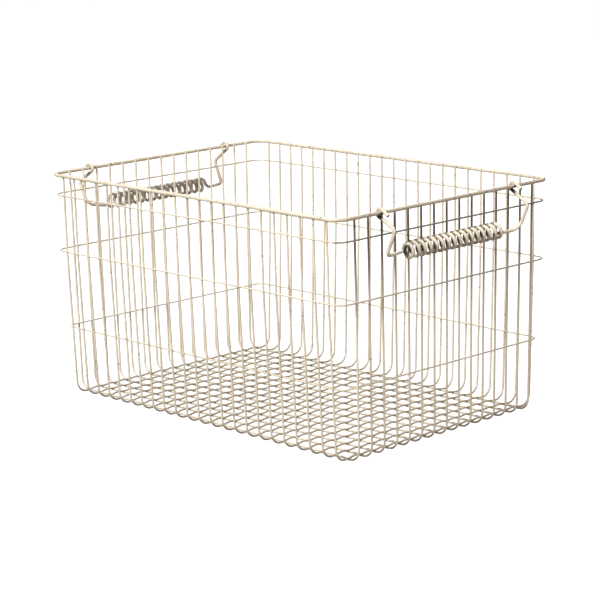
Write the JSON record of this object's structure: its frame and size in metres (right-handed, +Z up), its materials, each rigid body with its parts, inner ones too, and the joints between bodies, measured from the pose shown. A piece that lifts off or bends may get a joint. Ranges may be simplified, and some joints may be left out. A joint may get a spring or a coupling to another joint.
{
  "type": "wire locker basket",
  "caption": "Open-topped rectangular basket of welded, painted steel wire with a thick rim, round hoops and a hinged bail handle with a coiled grip at each end.",
  "frame": {"origin": "centre of the underside, on the surface the basket stands on", "axes": "+X along the length towards one handle, +Y along the width, +Z up"},
  "size_m": [0.4707, 0.3088, 0.2468],
  "materials": {
    "cream_paint": "satin"
  },
  "bodies": {
    "basket": {"rim_wire": "cream_paint", "hoop_upper": "cream_paint", "hoop_middle": "cream_paint", "hoop_lower": "cream_paint", "long_wire_01": "cream_paint", "long_wire_02": "cream_paint", "long_wire_03": "cream_paint", "long_wire_04": "cream_paint", "long_wire_05": "cream_paint", "long_wire_06": "cream_paint", "long_wire_07": "cream_paint", "long_wire_08": "cream_paint", "long_wire_09": "cream_paint", "long_wire_10": "cream_paint", "long_wire_11": "cream_paint", "long_wire_12": "cream_paint", "long_wire_13": "cream_paint", "long_wire_14": "cream_paint", "long_wire_15": "cream_paint", "cross_wire_01": "cream_paint", "cross_wire_02": "cream_paint", "cross_wire_03": "cream_paint", "cross_wire_04": "cream_paint", "cross_wire_05": "cream_paint", "cross_wire_06": "cream_paint", "cross_wire_07": "cream_paint", "cross_wire_08": "cream_paint", "cross_wire_09": "cream_paint", "cross_wire_10": "cream_paint", "cross_wire_11": "cream_paint", "cross_wire_12": "cream_paint", "cross_wire_13": "cream_paint", "cross_wire_14": "cream_paint", "cross_wire_15": "cream_paint", "cross_wire_16": "cream_paint", "cross_wire_17": "cream_paint", "cross_wire_18": "cream_paint", "cross_wire_19": "cream_paint", "cross_wire_20": "cream_paint", "cross_wire_21": "cream_paint", "cross_wire_22": "cream_paint", "cross_wire_23": "cream_paint"},
    "bail_right": {"handle_right": "cream_paint"},
    "bail_left": {"handle_left": "cream_paint"}
  },
  "joints": [
    {"name": "bail_right_hinge", "type": "hinge", "parent": "basket", "child": "bail_right", "pos_m": [0.216, 0, 0.2406], "axis": [0, -1, 0], "range_deg": [0, 180]},
    {"name": "bail_left_hinge", "type": "hinge", "parent": "basket", "child": "bail_left", "pos_m": [-0.216, 0, 0.2406], "axis": [0, 1, 0], "range_deg": [0, 180]}
  ]
}
